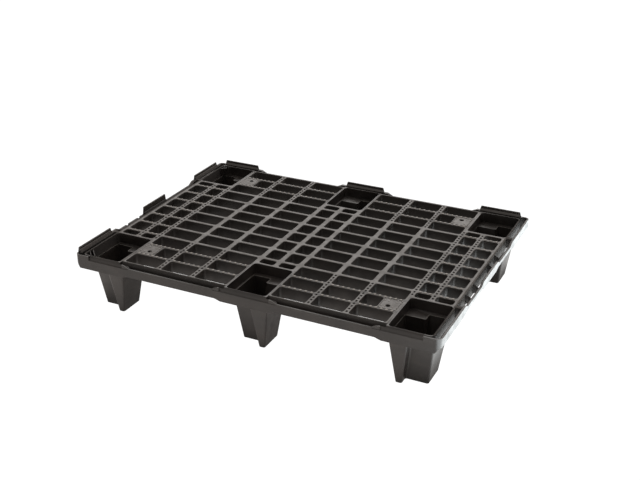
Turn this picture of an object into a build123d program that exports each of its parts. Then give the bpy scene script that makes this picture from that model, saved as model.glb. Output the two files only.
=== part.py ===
"""A half-size nestable plastic pallet, 800 x 600 mm, on six hollow feet.

Frame: origin on the floor under the middle of the pallet, +X along the long side, +Y towards the back,
+Z up. Each moulded region of the pallet is its own solid, and neighbours meet face to face.
"""

from build123d import *

import math
import os

# Overall sizes, in mm.
LENGTH = 800.0
WIDTH = 600.0
DECK_TOP = 128.0  # the load surface
GRID_DEPTH = 25.0  # height of the deck ribs
LIP_RISE = 10.0  # how far the edge lips stand above the deck

# The deck grid.
DECK_HALF_X = 384.0
DECK_HALF_Y = 288.0
EDGE_RIB = 8.5  # ribs along the two short sides
ROW_PITCH = 47.5
ROW_RIB = 8.0
ROW_RIBS = 5  # row ribs on each side of the middle one
LAST_SLOT_END = 281.0
COLUMN_RIB = 11.0
COLUMN_CENTRES = [0.0, 44.0, 127.5, 206.5, 292.5, 334.0]
SLOT_CORNER = 5.0
FIELD_COLUMNS = (1, 2, 3)  # the columns that run past the cups to the front and back edges
EDGE_SLOPE_IN = 4.5  # the front and back edges of the deck slope off
EDGE_SLOPE_DOWN = 8.0

# The foot cups, hung from the deck at its corners and half way along its long sides.
CUP_WALL = 3.0
CORNER_CUP_INNER = 292.0
MIDDLE_CUP_HALF = 47.0
CUP_START = 168.5  # the cup wall nearest the middle of the pallet
CUP_FRONT_END = 294.0
CUP_BACK_END = 287.0
CUP_CORNER = 10.0
LEDGE_DROP = 22.0  # from the deck down to the shoulder inside each cup

# The legs: two blocks side by side, set apart along Y, drawn in towards the floor.
LEG_CENTRE_X = 336.0
LEG_HALF_X = 43.8  # just under the shoulder
LEG_SPAN_Y = 106.0
LEG_STEP = 20.0
LEG_SPLIT = 2.0  # the step lies this far from the leg's middle
LEG_DRAFT = 7.6  # degrees
LEG_CORNER = 4.0
LEG_INNER_CORNER = 2.5
FRONT_LEG_START = -286.0
BACK_LEG_START = 169.0
FLOOR_THICK = 3.0

# The outer rim.
RIM_WALL = 3.0
RIM_CORNER = 11.0
LEFT_LEDGE_WIDE = 9.0  # the flange along the left side, which carries lips
RIGHT_LEDGE_WIDE = 5.0
BACK_LEDGE_WIDE = 7.0
FLANGE_THICK = 3.0
BAND_DROP = 6.5  # the band between blocks lies this far under the deck
SLOPE_FOOT_DROP = 8.6  # where the sloped top of a front block meets its upright face
LONG_BAND_BOTTOM = 102.5
LONG_BLOCK_BOTTOM = 98.5
SIDE_BAND_BOTTOM = 113.0
SIDE_BLOCK_BOTTOM = 109.0
SLOPE_RUN = 13.0  # length of the slope from a block down to the band
CORE_SHORT = 2.0  # a block's solid core stops this far before the foot of its slope
MIDDLE_BLOCK_END = 59.0
CORNER_BLOCK_START = 279.0
FRONT_BLOCK_END = 366.0  # beyond this the front wall stands clear of the corner cup
SIDE_BLOCK_START = 157.0
RIGHT_MIDDLE_BLOCK = (-45.0, 52.0)
LEFT_DIPS = [(-122.0, -107.0), (-78.0, -63.0)]
DIP_DEPTH = 3.5
BACK_RIBS_X = [-370.0, -300.0, -38.0, 38.0, 300.0, 370.0]
BACK_RIB_TOP = 122.0

# Edge lips, on the left and back sides only.
LIP_THICK = 3.0
LIP_SLOPE = 3.0
BACK_LIPS = {"left": (-384.0, -288.0), "middle": (-48.0, 50.0), "right": (285.0, 381.0)}
LEFT_LIPS = {"front": (-289.0, -174.0), "middle": (-52.0, 41.0), "back": (168.0, 276.0)}

# Anchor pads, each with one hole for a strap peg or a screw.
PAD_COLUMN, PAD_ROW = 3, 4
PAD_INNER_X = 252.0
PAD_OUTER_X = 287.0
PAD_STRIP = 3.0
PAD_THICK = 6.0
HOLE_X = 267.0
HOLE_Y = 221.0
HOLE_R = 4.75

# Webs across the channel between the deck and the side rims.
THIN_WEB = 2.5
WIDE_WEB = 9.0
WEB_BOTTOM = 106.0
THIN_WEBS_Y = [-112.0, -64.0, 33.0, 80.0]
WIDE_WEBS_Y = [-168.0, 174.0]

CLEAR = 2.0  # how far a cut runs past the surface that it cuts

GRID_BOTTOM = DECK_TOP - GRID_DEPTH
LEDGE_Z = DECK_TOP - LEDGE_DROP
BAND_TOP = DECK_TOP - BAND_DROP
LIP_TOP = DECK_TOP + LIP_RISE
HALF_L = LENGTH / 2
HALF_W = WIDTH / 2
CORNER_END_Y = HALF_W - RIM_CORNER  # where the long rims hand over to the side rims


def rectangle_between(x0, x1, y0, y1, corner=0.0):
    """Draws a rectangle from its sides, given in either order, with rounded corners if asked."""
    wide, deep = abs(x1 - x0), abs(y1 - y0)
    with Locations(((x0 + x1) / 2, (y0 + y1) / 2)):
        if corner > 0:
            RectangleRounded(wide, deep, corner)
        else:
            Rectangle(wide, deep)


def cut_rectangle(x0, x1, y0, y1, corner=0.0):
    """Cuts a rectangle out of the current sketch, given its sides in either order."""
    wide, deep = abs(x1 - x0), abs(y1 - y0)
    with Locations(((x0 + x1) / 2, (y0 + y1) / 2)):
        if corner > 0:
            RectangleRounded(wide, deep, corner, mode=Mode.SUBTRACT)
        else:
            Rectangle(wide, deep, mode=Mode.SUBTRACT)


def filled_outline(points):
    """Draws a filled outline through the points, where they lie."""
    Polygon(*points, align=None)


def row_openings():
    """The Y ranges of the slot rows behind the middle rib, from the middle outwards."""
    half = ROW_RIB / 2
    rows = [(k * ROW_PITCH + half, (k + 1) * ROW_PITCH - half) for k in range(ROW_RIBS)]
    return rows + [(ROW_RIBS * ROW_PITCH + half, LAST_SLOT_END)]


def column_openings():
    """The X ranges of the slot columns right of the middle rib, from the middle outwards."""
    half = COLUMN_RIB / 2
    starts = [c + half for c in COLUMN_CENTRES]
    ends = [c - half for c in COLUMN_CENTRES[1:]] + [DECK_HALF_X - EDGE_RIB]
    return list(zip(starts, ends))


def deck_slots():
    """Every slot as (x0, x1, y0, y1), in the quarter of the deck where x and y are positive."""
    slots = []
    for column, (x0, x1) in enumerate(column_openings()):
        for row, (y0, y1) in enumerate(row_openings()):
            if column == PAD_COLUMN and row == PAD_ROW:
                slots.append((x0, PAD_INNER_X - PAD_STRIP, y0, y1))
            elif column in FIELD_COLUMNS or y1 < CUP_START:
                slots.append((x0, x1, y0, y1))
            elif y0 < CUP_START:
                slots.append((x0, x1, y0, CUP_START - CUP_WALL))
    return slots


def make_deck_region(x0, x1, half_y, full_width):
    """One rectangular region of the ribbed deck: a plate, less every slot and pad opening that lies in it."""
    pad_y0, pad_y1 = row_openings()[PAD_ROW]
    with BuildPart() as region:
        with BuildSketch(Plane.XY.offset(GRID_BOTTOM)):
            rectangle_between(x0, x1, -half_y, half_y)
            for sx in (-1, 1):
                for sy in (-1, 1):
                    for a, b, c, d in deck_slots():
                        low, high = sorted((sx * a, sx * b))
                        if x0 < (low + high) / 2 < x1:
                            cut_rectangle(low, high, sy * c, sy * d, SLOT_CORNER)
                    low, high = sorted((sx * PAD_INNER_X, sx * PAD_OUTER_X))
                    if x0 < low and high < x1:
                        cut_rectangle(low, high, sy * pad_y0, sy * pad_y1)
        extrude(amount=GRID_DEPTH)
        if full_width:
            # The front and back edges slope off.
            with BuildSketch(Plane.YZ.offset(-HALF_L)):
                for side in (-1, 1):
                    edge = side * DECK_HALF_Y
                    land = edge - side * EDGE_SLOPE_IN
                    filled_outline([(land, DECK_TOP), (edge, DECK_TOP - EDGE_SLOPE_DOWN), (edge, DECK_TOP)])
            extrude(amount=LENGTH, mode=Mode.SUBTRACT)
    return region.part


def leg_outline(centre_x, start_y, left_in_front, inset):
    """The eight corners of a leg's stepped section, drawn in by inset all round."""
    front = start_y + inset
    back = start_y + LEG_SPAN_Y - inset
    half = LEG_HALF_X - inset
    corners = [
        (-half, front),
        (-LEG_SPLIT - inset, front),
        (-LEG_SPLIT - inset, front + LEG_STEP),
        (half, front + LEG_STEP),
        (half, back),
        (-LEG_SPLIT + inset, back),
        (-LEG_SPLIT + inset, back - LEG_STEP),
        (-half, back - LEG_STEP),
    ]
    if left_in_front:
        return [(centre_x + x, y) for x, y in corners]
    return [(centre_x - x, y) for x, y in reversed(corners)]


def leg_block(centre_x, start_y, left_in_front, wall, bottom, corner):
    """A drafted block of the leg's stepped section, from the shoulder down, thinner by wall all round."""
    top_inset = wall
    bottom_inset = wall + (LEDGE_Z - bottom) * math.tan(math.radians(LEG_DRAFT))
    with BuildPart() as block:
        with BuildSketch(Plane.XY.offset(bottom)):
            filled_outline(leg_outline(centre_x, start_y, left_in_front, bottom_inset))
        with BuildSketch(Plane.XY.offset(LEDGE_Z)):
            filled_outline(leg_outline(centre_x, start_y, left_in_front, top_inset))
        loft(ruled=True)
        upright = block.edges().filter_by(lambda e: abs(e.tangent_at(0.5).Z) > 0.8)
        fillet(upright, corner)
    return block.part


def make_foot(span_x, side, left_in_front):
    """One hollow foot: a square cup hung from the deck, a shoulder, and a stepped leg down to the floor."""
    x0, x1 = span_x
    end_y = -CUP_FRONT_END if side < 0 else CUP_BACK_END
    start_y = side * CUP_START
    leg_y = FRONT_LEG_START if side < 0 else BACK_LEG_START
    leg_x = 0.0 if x0 < 0 < x1 else math.copysign(LEG_CENTRE_X, x0 + x1)
    with BuildPart() as foot:
        with BuildSketch(Plane.XY.offset(GRID_BOTTOM)):
            rectangle_between(x0, x1, start_y, end_y)
        extrude(amount=GRID_DEPTH)
        if leg_x != 0:
            corner = (math.copysign(DECK_HALF_X, leg_x), end_y, LEDGE_Z)
            fillet(foot.edges().filter_by(Axis.Z).sort_by_distance(corner)[0], CUP_CORNER)
        add(leg_block(leg_x, leg_y, left_in_front, 0.0, 0.0, LEG_CORNER))
        with BuildSketch(Plane.XY.offset(LEDGE_Z)):
            inner_y0 = start_y + side * CUP_WALL
            inner_y1 = end_y - side * CUP_WALL
            rectangle_between(x0 + CUP_WALL, x1 - CUP_WALL, inner_y0, inner_y1, CUP_CORNER - CUP_WALL)
        extrude(amount=LEDGE_DROP, mode=Mode.SUBTRACT)
        hollow = leg_block(leg_x, leg_y, left_in_front, CUP_WALL, FLOOR_THICK, LEG_INNER_CORNER)
        add(hollow, mode=Mode.SUBTRACT)
        if side < 0:
            # The sloped top of the front blocks runs on over the cup's front wall.
            with BuildSketch(Plane.YZ.offset(-FRONT_BLOCK_END)):
                filled_outline(front_slope())
            extrude(amount=2 * FRONT_BLOCK_END, mode=Mode.SUBTRACT)
    return foot.part


def front_slope():
    """What the slope takes off the front of the pallet, as an outline in Y and Z."""
    foot_z = DECK_TOP - SLOPE_FOOT_DROP
    return [
        (-HALF_W - CLEAR, foot_z - CLEAR),
        (-HALF_W + SLOPE_FOOT_DROP + CLEAR, DECK_TOP + CLEAR),
        (-HALF_W - CLEAR, DECK_TOP + CLEAR),
    ]


def band_gaps(blocks):
    """The ranges between neighbouring blocks, given the blocks in order."""
    return [(a[1], b[0]) for a, b in zip(blocks[:-1], blocks[1:])]


def band_cut(start, end):
    """What a band takes off the top of a rim between two blocks, with a slope at each end."""
    return [
        (start, LIP_TOP),
        (start, DECK_TOP),
        (start + SLOPE_RUN, BAND_TOP),
        (end - SLOPE_RUN, BAND_TOP),
        (end, DECK_TOP),
        (end, LIP_TOP),
    ]


def under_cut(start, end, block_bottom, band_bottom):
    """What a band takes off the bottom of a rim: its bottom edge is higher than the blocks'."""
    half = SLOPE_RUN / 2
    return [
        (start - half, 0),
        (start - half, block_bottom),
        (start + half, band_bottom),
        (end - half, band_bottom),
        (end + half, block_bottom),
        (end + half, 0),
    ]


def long_rim_blocks():
    """The X ranges of the blocks on the front and back rims, corners included, from left to right."""
    middle = (-MIDDLE_BLOCK_END, MIDDLE_BLOCK_END)
    return [(-HALF_L, -CORNER_BLOCK_START), middle, (CORNER_BLOCK_START, HALF_L)]


def block_cores(end):
    """The X ranges of the three blocks' solid cores, where the outer two stop at end."""
    grow = SLOPE_RUN - CORE_SHORT
    start = CORNER_BLOCK_START - grow
    middle = MIDDLE_BLOCK_END + grow
    return [(-end, -start), (-middle, middle), (start, end)]


def corner_rise(sx):
    """What the rim's bottom edge loses round a corner, where it rises to meet the shallower side rim."""
    turn = sx * (HALF_L - RIM_CORNER)
    tip = sx * (HALF_L - RIM_WALL)
    edge = sx * HALF_L
    return [
        (turn, LONG_BLOCK_BOTTOM - CLEAR),
        (turn, LONG_BLOCK_BOTTOM),
        (tip, SIDE_BLOCK_BOTTOM),
        (edge, SIDE_BLOCK_BOTTOM),
        (edge, LONG_BLOCK_BOTTOM - CLEAR),
    ]


def make_long_rim(side):
    """The front (side -1) or back (side 1) rim, with both corners: a band and three deeper blocks."""
    core_inner = CUP_FRONT_END if side < 0 else HALF_W - BACK_LEDGE_WIDE
    core_end = FRONT_BLOCK_END if side < 0 else DECK_HALF_X
    with BuildPart() as rim:
        with BuildSketch(Plane.XY.offset(LONG_BLOCK_BOTTOM)):
            RectangleRounded(LENGTH, WIDTH, RIM_CORNER)
            hole_corner = RIM_CORNER - RIM_WALL
            RectangleRounded(LENGTH - 2 * RIM_WALL, WIDTH - 2 * RIM_WALL, hole_corner, mode=Mode.SUBTRACT)
            with Locations((0, -side * RIM_CORNER)):
                Rectangle(LENGTH, WIDTH, mode=Mode.SUBTRACT)
        extrude(amount=DECK_TOP - LONG_BLOCK_BOTTOM)
        with BuildSketch(Plane.XY.offset(LONG_BLOCK_BOTTOM)):
            for x0, x1 in block_cores(core_end):
                rectangle_between(x0, x1, side * core_inner, side * (HALF_W - RIM_WALL))
        extrude(amount=DECK_TOP - LONG_BLOCK_BOTTOM)
        if side < 0:
            # Stubs that tie the front blocks to the deck beside each cup.
            with BuildSketch(Plane.XY.offset(GRID_BOTTOM)):
                for near, far in stub_spans():
                    for sx in (-1, 1):
                        rectangle_between(sx * near, sx * far, -CUP_FRONT_END, -DECK_HALF_Y)
            extrude(amount=DECK_TOP - EDGE_SLOPE_DOWN - GRID_BOTTOM)
            for x0, x1 in block_cores(core_end):
                with BuildSketch(Plane.YZ.offset(x0)):
                    filled_outline(front_slope())
                extrude(amount=x1 - x0, mode=Mode.SUBTRACT)
        else:
            # Under its flange the back rim is hollow, with ribs across to the cups.
            with BuildSketch(Plane.XY.offset(LONG_BLOCK_BOTTOM)):
                rectangle_between(-DECK_HALF_X, DECK_HALF_X, HALF_W - BACK_LEDGE_WIDE, HALF_W - RIM_WALL)
            extrude(amount=DECK_TOP - FLANGE_THICK - LONG_BLOCK_BOTTOM, mode=Mode.SUBTRACT)
            with BuildSketch(Plane.XY.offset(GRID_BOTTOM)):
                for x in BACK_RIBS_X:
                    rectangle_between(x - THIN_WEB / 2, x + THIN_WEB / 2, CUP_BACK_END, HALF_W - RIM_WALL)
            extrude(amount=BACK_RIB_TOP - GRID_BOTTOM)
        with BuildSketch(Plane.XZ.offset(-HALF_W)):
            for start, end in band_gaps(long_rim_blocks()):
                filled_outline(band_cut(start, end))
                filled_outline(under_cut(start, end, LONG_BLOCK_BOTTOM, LONG_BAND_BOTTOM))
            for sx in (-1, 1):
                filled_outline(corner_rise(sx))
        extrude(amount=WIDTH, mode=Mode.SUBTRACT)
    return rim.part


def stub_spans():
    """The ranges of |x| just outside the middle cup, and just inside the corner cups."""
    return [(MIDDLE_CUP_HALF, MIDDLE_BLOCK_END), (CORNER_BLOCK_START, CORNER_CUP_INNER)]


def flange_inner(side):
    """How far out the flange of a side rim begins."""
    return HALF_L - (LEFT_LEDGE_WIDE if side < 0 else RIGHT_LEDGE_WIDE)


def side_rim_blocks(side):
    """The Y ranges of the blocks on a short side, from front to back."""
    corner = (SIDE_BLOCK_START, CORNER_END_Y)
    blocks = [(-corner[1], -corner[0]), corner]
    if side > 0:
        blocks.insert(1, RIGHT_MIDDLE_BLOCK)
    return blocks


def make_side_rim(side):
    """The left (side -1) or right (side 1) rim: an L section with a flange on top, higher at its blocks."""
    gaps = band_gaps(side_rim_blocks(side))
    inner = flange_inner(side)
    with BuildPart() as rim:
        with BuildSketch(Plane.XY.offset(SIDE_BLOCK_BOTTOM)):
            rectangle_between(side * inner, side * HALF_L, -CORNER_END_Y, CORNER_END_Y)
        extrude(amount=DECK_TOP - SIDE_BLOCK_BOTTOM)
        # Hollow it out under the flange, which follows the top edge.
        with BuildSketch(Plane.XY.offset(SIDE_BLOCK_BOTTOM)):
            rectangle_between(side * inner, side * (HALF_L - RIM_WALL), -CORNER_END_Y, CORNER_END_Y)
        extrude(amount=BAND_TOP - FLANGE_THICK - SIDE_BLOCK_BOTTOM, mode=Mode.SUBTRACT)
        for y0, y1 in side_rim_blocks(side):
            with BuildSketch(Plane.XY.offset(BAND_TOP - FLANGE_THICK)):
                rectangle_between(side * inner, side * (HALF_L - RIM_WALL), y0, y1)
            extrude(amount=BAND_DROP, mode=Mode.SUBTRACT)
        with BuildSketch(Plane.YZ.offset(-HALF_L)):
            for start, end in gaps:
                filled_outline(band_cut(start, end))
                filled_outline(under_cut(start, end, SIDE_BLOCK_BOTTOM, SIDE_BAND_BOTTOM))
            if side < 0:
                low = BAND_TOP - DIP_DEPTH
                for y0, y1 in LEFT_DIPS:
                    y2, y3 = y0 + DIP_DEPTH, y1 - DIP_DEPTH
                    filled_outline([(y0, LIP_TOP), (y2, low), (y3, low), (y1, LIP_TOP)])
        extrude(amount=LENGTH, mode=Mode.SUBTRACT)
    return rim.part


def lip_outline(start, end, foot):
    """The side view of a lip from start to end, standing on foot, with sloped ends."""
    return [(start, foot), (end, foot), (end - LIP_SLOPE, LIP_TOP), (start + LIP_SLOPE, LIP_TOP)]


def make_back_lip(x0, x1):
    """An edge lip on the back rim: a thin upright plate."""
    with BuildPart() as lip:
        with BuildSketch(Plane.XZ.offset(-HALF_W)):
            filled_outline(lip_outline(x0, x1, DECK_TOP))
        extrude(amount=LIP_THICK)
    return lip.part


def make_left_lip(y0, y1):
    """An edge lip on the left rim. The middle one stands on the low band, so it is taller."""
    foot = BAND_TOP if y0 < 0 < y1 else DECK_TOP
    with BuildPart() as lip:
        with BuildSketch(Plane.YZ.offset(-HALF_L)):
            filled_outline(lip_outline(y0, y1, foot))
        extrude(amount=LIP_THICK)
    return lip.part


def make_pad(sx, sy):
    """An anchor pad: a small plate set flush in the deck, with a hole for a strap peg or a screw."""
    y0, y1 = row_openings()[PAD_ROW]
    with BuildPart() as pad:
        with BuildSketch(Plane.XY.offset(DECK_TOP - PAD_THICK)):
            rectangle_between(sx * PAD_INNER_X, sx * PAD_OUTER_X, sy * y0, sy * y1)
            with Locations((sx * HOLE_X, sy * HOLE_Y)):
                Circle(HOLE_R, mode=Mode.SUBTRACT)
        extrude(amount=PAD_THICK)
    return pad.part


def web_outline(side, rim_bottom, rim_top):
    """The section of a web from the deck out to the rim's wall, fitted under the rim's flange."""
    inner = flange_inner(side)
    wall = HALF_L - RIM_WALL
    outline = [
        (DECK_HALF_X, WEB_BOTTOM),
        (wall, rim_bottom),
        (wall, rim_top - FLANGE_THICK),
        (inner, rim_top - FLANGE_THICK),
        (inner, rim_top),
        (DECK_HALF_X, DECK_TOP),
    ]
    return [(side * x, z) for x, z in outline]


def make_side_webs(side):
    """The webs across the channel between the deck and a short rim, as one group of solids."""
    with BuildPart() as webs:
        for y in THIN_WEBS_Y:
            with BuildSketch(Plane.XZ.offset(-y - THIN_WEB / 2)):
                filled_outline(web_outline(side, SIDE_BAND_BOTTOM, BAND_TOP))
            extrude(amount=THIN_WEB)
        for y in WIDE_WEBS_Y:
            with BuildSketch(Plane.XZ.offset(-y - WIDE_WEB / 2)):
                filled_outline(web_outline(side, SIDE_BLOCK_BOTTOM, DECK_TOP))
            extrude(amount=WIDE_WEB)
    return webs.part


def save(part, name):
    """Labels a finished part and writes it to its STEP file."""
    part.label = name
    export_step(part, f"parts/{name}.step")


os.makedirs("parts", exist_ok=True)

# The deck, in the five rectangular regions that the cups leave.
inner, outer = MIDDLE_CUP_HALF, CORNER_CUP_INNER
save(make_deck_region(-outer, -inner, DECK_HALF_Y, True), "deck_field_left")
save(make_deck_region(inner, outer, DECK_HALF_Y, True), "deck_field_right")
save(make_deck_region(-inner, inner, CUP_START, False), "deck_middle")
save(make_deck_region(-DECK_HALF_X, -outer, CUP_START, False), "deck_side_left")
save(make_deck_region(outer, DECK_HALF_X, CUP_START, False), "deck_side_right")

# Feet. Each leg's two blocks are set apart one way or the other, as on the moulding.
LEFT_SPAN = (-DECK_HALF_X, -CORNER_CUP_INNER)
MIDDLE_SPAN = (-MIDDLE_CUP_HALF, MIDDLE_CUP_HALF)
RIGHT_SPAN = (CORNER_CUP_INNER, DECK_HALF_X)
save(make_foot(LEFT_SPAN, -1, False), "foot_front_left")
save(make_foot(MIDDLE_SPAN, -1, False), "foot_front_middle")
save(make_foot(RIGHT_SPAN, -1, True), "foot_front_right")
save(make_foot(LEFT_SPAN, 1, False), "foot_back_left")
save(make_foot(MIDDLE_SPAN, 1, True), "foot_back_middle")
save(make_foot(RIGHT_SPAN, 1, True), "foot_back_right")

save(make_long_rim(-1), "front_rim")
save(make_long_rim(1), "back_rim")
save(make_side_rim(-1), "left_rim")
save(make_side_rim(1), "right_rim")

for place, (x0, x1) in BACK_LIPS.items():
    save(make_back_lip(x0, x1), f"lip_back_{place}")
for place, (y0, y1) in LEFT_LIPS.items():
    save(make_left_lip(y0, y1), f"lip_left_{place}")

save(make_pad(-1, -1), "anchor_pad_front_left")
save(make_pad(1, -1), "anchor_pad_front_right")
save(make_pad(-1, 1), "anchor_pad_back_left")
save(make_pad(1, 1), "anchor_pad_back_right")

save(make_side_webs(-1), "side_webs_left")
save(make_side_webs(1), "side_webs_right")
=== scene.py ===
# %% [markdown]
# # A half-size plastic pallet
# This pallet is one moulding in black recycled plastic: a deck of ribs, six hollow feet that drop into
# the next pallet's pockets, a rim all round, and low lips on two sides. The sizes come from the CAD model,
# which is loaded first. Each piece below is then either built over its CAD node, or carried over from it.

# %% Load the frame
import math

import bmesh
import bpy
import numpy as np
from mathutils import Matrix, Vector


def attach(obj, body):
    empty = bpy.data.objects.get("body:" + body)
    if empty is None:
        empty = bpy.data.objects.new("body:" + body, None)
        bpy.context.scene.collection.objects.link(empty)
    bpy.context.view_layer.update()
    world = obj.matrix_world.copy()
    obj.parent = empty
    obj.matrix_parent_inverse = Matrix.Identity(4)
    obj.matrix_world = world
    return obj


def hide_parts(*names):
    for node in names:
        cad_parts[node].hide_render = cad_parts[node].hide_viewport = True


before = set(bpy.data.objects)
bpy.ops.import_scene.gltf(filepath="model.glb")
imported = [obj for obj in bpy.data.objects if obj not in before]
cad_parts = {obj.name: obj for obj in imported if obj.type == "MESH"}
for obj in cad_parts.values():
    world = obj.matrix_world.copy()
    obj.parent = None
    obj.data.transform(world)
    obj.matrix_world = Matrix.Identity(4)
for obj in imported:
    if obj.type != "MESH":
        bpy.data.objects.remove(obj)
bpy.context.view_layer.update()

# %% [markdown]
# ## Camera
# The camera stands at the front right, a little over two metres away, and looks down at about 25 degrees.
# It is placed by the direction it looks back along, its distance, and how far its aim lies from the middle
# of the deck. A small sideways shift frames the pallet a little right of the picture's middle.

# %% Camera
MM = 0.001
DECK_TOP = 128.0
AZIMUTH, ELEVATION = math.radians(26.195), math.radians(24.969)
DISTANCE, AIM_RIGHT, AIM_UP = 2210.603, -19.171, -10.247
LENS, SENSOR, SHIFT = 57.585, 36.0, 0.028125


def camera_axes(azimuth, elevation):
    """Right, up and back vectors of a level camera that looks at the object from an angle."""
    level = Vector((math.sin(azimuth), -math.cos(azimuth), 0.0))
    back = level * math.cos(elevation) + Vector((0.0, 0.0, math.sin(elevation)))
    right = Vector((math.cos(azimuth), math.sin(azimuth), 0.0))
    return right, back.cross(right), back


def make_camera():
    """Stands the camera off along its back vector, then slides it across the view by the aim offsets."""
    right, up, back = camera_axes(AZIMUTH, ELEVATION)
    data = bpy.data.cameras.new("camera")
    data.lens, data.sensor_width, data.shift_x = LENS, SENSOR, SHIFT
    camera = bpy.data.objects.new("camera", data)
    bpy.context.scene.collection.objects.link(camera)
    place = (back * DISTANCE + right * AIM_RIGHT + up * AIM_UP + Vector((0, 0, DECK_TOP))) * MM
    turn = Matrix((right, up, back)).transposed().to_4x4()
    camera.matrix_world = Matrix.Translation(place) @ turn
    bpy.context.scene.camera = camera
    return camera


camera = make_camera()
print("camera at", [round(v, 3) for v in camera.location])

# %% [markdown]
# ## Helpers for surfaces
# Every new surface here is an array of rings: each ring has the same number of points, and neighbouring
# rings are joined by four-sided faces. The arrays are worked out whole, and handed to the mesh at once.


# %% Surface helpers
def ring_faces(rings, points, closed=True):
    """Faces between neighbouring rings: point j of ring i joins j + 1, then the same two on ring i + 1."""
    i, j = np.meshgrid(np.arange(rings - 1), np.arange(points if closed else points - 1), indexing="ij")
    k = (j + 1) % points
    quads = np.stack([i * points + j, i * points + k, (i + 1) * points + k, (i + 1) * points + j], axis=-1)
    return quads.reshape(-1, 4)


def stacked(vertices, faces):
    """Repeats one set of faces over many copies of a shape: vertices is copies x points x 3."""
    copies, points = vertices.shape[:2]
    shift = (np.arange(copies) * points)[:, None, None]
    return vertices.reshape(-1, 3), (faces[None] + shift).reshape(-1, faces.shape[1])


def mesh_piece(name, parts, sharp=35.0, merge=0.02):
    """Joins several (vertices in mm, faces) pairs into one object, merges doubles and smooths its bends."""
    mesh = bpy.data.meshes.new(name)
    points, faces, start = [], [], 0
    for vertices, quads in parts:
        points.append(np.asarray(vertices, float) * MM)
        faces += (np.asarray(quads) + start).tolist()
        start += len(vertices)
    mesh.from_pydata(np.concatenate(points).tolist(), [], faces)
    work = bmesh.new()
    work.from_mesh(mesh)
    bmesh.ops.remove_doubles(work, verts=work.verts, dist=merge * MM)
    work.to_mesh(mesh)
    work.free()
    mesh.shade_smooth()
    mesh.set_sharp_from_angle(angle=math.radians(sharp))
    piece = bpy.data.objects.new(name, mesh)
    bpy.context.scene.collection.objects.link(piece)
    print(name, len(mesh.vertices), "vertices", len(mesh.polygons), "faces")
    return piece


# %% [markdown]
# ## The deck
# The deck is a grid of ribs round many slots with rounded corners. One slot with the half ribs round it is
# a tile: a closed band of rings that starts at the middle of the ribs' tops, rolls over the slot's edge,
# runs down its drafted wall and comes back along the underside. All tiles share one template of points,
# so all of them are worked out in one go.

# %% Deck sizes
GRID_BOTTOM = 103.0
ROW_PITCH, ROW_RIB = 47.5, 8.0
COLUMN_RIB = 11.0
COLUMNS = np.array([0.0, 44.0, 127.5, 206.5, 292.5, 334.0])
TREAD = 2.6  # half the width of the strip along the middle of each column rib
DECK_X, DECK_Y = 384.0, 288.0
LAND_END = 283.5  # where the front and back edges begin to slope
CUP_START = 168.5
CORNER_CUP, MIDDLE_CUP = 292.0, 47.0  # where the cups' walls begin, from the middle of the deck
CUP_RIB = 3.0  # the rib between a cup and the slot beside it
PAD_X = (252.0, 287.0)
PAD_RIM, PAD_CORNER = 1.5, 0.4  # half the rib between a pad and its slot, and the pad opening's corners
EDGE_ROLL = 1.3
DRAFT = 0.9  # how far each slot's wall leans back by its foot
FOOT_ROLL = 0.6
SIDE_ROLL = 0.8  # the rounding along the deck's two short sides
LAST_SLOT_X, LAST_SLOT_Y = 375.5, (241.5, 281.0)
SLOT_CORNER = 5.0
ARC_STEPS = 4


def loop_points(x0, x1, y0, y1, radius, grow=0.0):
    """A rounded rectangle for each tile: corner centre plus radius times direction, counterclockwise."""
    corner = np.repeat(np.arange(4), ARC_STEPS + 1)
    angle = np.radians(-90 + 90 * corner + 90 * np.tile(np.arange(ARC_STEPS + 1), 4) / ARC_STEPS)
    sx = np.array([1, 1, -1, -1])[corner]
    sy = np.array([-1, 1, 1, -1])[corner]
    r = radius[:, None]
    cx = np.where(sx > 0, x1[:, None] - r, x0[:, None] + r)
    cy = np.where(sy > 0, y1[:, None] - r, y0[:, None] + r)
    reach = r + grow
    return np.stack([cx + reach * np.cos(angle), cy + reach * np.sin(angle)], axis=-1)


def border_points(x0, x1, y0, y1, radius, X0, X1, Y0, Y1):
    """The tile's outer rectangle, with a point opposite each point of its slot and one at each corner."""
    corner = np.repeat(np.arange(4), ARC_STEPS + 1)
    t = np.tile(np.arange(ARC_STEPS + 1), 4) / ARC_STEPS
    sx = np.array([1, 1, -1, -1])[corner]
    sy = np.array([-1, 1, 1, -1])[corner]
    r = radius[:, None]
    cx = np.where(sx > 0, x1[:, None] - r, x0[:, None] + r)
    cy = np.where(sy > 0, y1[:, None] - r, y0[:, None] + r)
    BX = np.where(sx > 0, X1[:, None], X0[:, None])
    BY = np.where(sy > 0, Y1[:, None], Y0[:, None])
    # Each arc runs to the rectangle's corner over its first half and on along the next side.
    first, second = np.clip(2 * t, 0, 1), np.clip(2 * t - 1, 0, 1)
    starts_low = corner % 2 == 0
    along_x = np.where(starts_low, first, 1 - second)
    along_y = np.where(starts_low, 1 - second, first)
    return np.stack([cx + (BX - cx) * along_x, cy + (BY - cy) * along_y], axis=-1)


def at_height(points, z):
    """Lifts flat points to a height."""
    return np.concatenate([points, np.full(points.shape[:-1] + (1,), float(z))], axis=-1)


# %% [markdown]
# The tiles are listed once for a quarter of the deck, and mirrored for the rest. Most fill one place of the
# grid. Some places differ: the cups take a block of them at each corner and at the middle of each long side,
# an anchor pad takes half of one, and the last row runs out to the sloping edge.


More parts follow.
